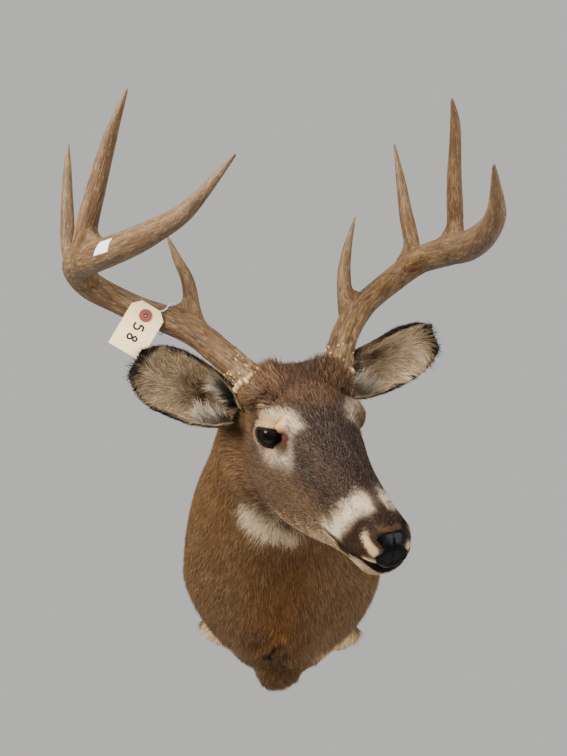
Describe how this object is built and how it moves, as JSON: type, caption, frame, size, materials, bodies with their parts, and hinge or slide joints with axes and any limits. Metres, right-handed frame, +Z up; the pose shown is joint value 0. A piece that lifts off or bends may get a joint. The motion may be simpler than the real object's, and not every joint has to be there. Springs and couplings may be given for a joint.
{
  "type": "whitetail buck shoulder mount",
  "caption": "Wall-hung shoulder mount of an antlered whitetail buck, head turned to its left, ears spread, paper lot tag tied to one antler.",
  "frame": {"origin": "a point on the wall face of the back board, behind the middle of the trunk", "axes": "+X to the buck's left, +Y into the wall, +Z up; the animal reaches out along -Y"},
  "size_m": [0.5001, 0.5641, 0.7976],
  "materials": {
    "board": "bare plywood, matte",
    "coat": "short brown deer hair lying flat, matte",
    "face_coat": "very short grizzled grey-brown hair, matte",
    "pale_coat": "cream hair, matte",
    "ear_coat": "cream hair inside, dark brown hair on the back and rim, matte",
    "nose": "pebbled black skin, satin",
    "eye": "dark glass, polished",
    "antler": "stained antler bone, grooved lengthwise, lighter and smoother at the tips",
    "card": "manila card, matte",
    "eyelet": "red paper reinforcing ring, matte",
    "string": "white cotton string"
  },
  "bodies": {
    "root": {"back_board": "board", "trunk": "coat", "neck": "coat", "foreleg_stub_R": "pale_coat", "foreleg_stub_L": "pale_coat", "head": "face_coat", "lower_jaw": "pale_coat", "nose_pad": "nose", "eye_R": "eye", "eye_L": "eye", "ear_R": "ear_coat", "ear_L": "ear_coat", "antler_R_base": "antler", "antler_R_middle": "antler", "antler_R_beam_end": "antler", "antler_R_brow_tine": "antler", "antler_R_second_tine": "antler", "antler_R_third_tine": "antler", "antler_L_base": "antler", "antler_L_middle": "antler", "antler_L_beam_end": "antler", "antler_L_brow_tine": "antler", "antler_L_second_tine": "antler", "antler_L_third_tine": "antler", "lot_tag": "card", "tag_eyelet": "eyelet", "tag_string": "string"}
  },
  "joints": []
}
